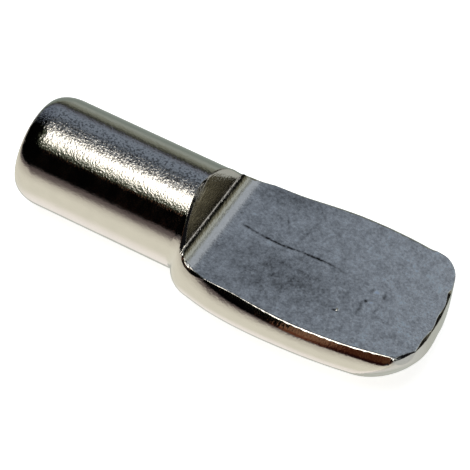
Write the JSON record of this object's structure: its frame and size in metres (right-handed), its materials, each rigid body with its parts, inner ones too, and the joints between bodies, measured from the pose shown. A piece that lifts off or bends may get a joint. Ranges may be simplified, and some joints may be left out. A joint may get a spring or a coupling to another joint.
{
  "type": "shelf support pin",
  "caption": "Bright plated steel shelf support: a round pin with a rounded end, forged into an oval paddle whose top is a flat for the shelf, with a steep shoulder between them.",
  "frame": {"origin": "on the pin's axis, in the plane where the full round of the pin ends and the sloping shoulder begins", "axes": "+X along the pin's axis toward the paddle's tip, +Z square to the flat that the shelf rests on, +Y across the paddle"},
  "size_m": [0.025, 0.0098, 0.0064],
  "materials": {
    "nickel": "bright nickel plate over forged steel, with a fine orange-peel speckle, a draw line and a few small pits on the flat"
  },
  "bodies": {
    "root": {"support_pin": "nickel"}
  },
  "joints": []
}
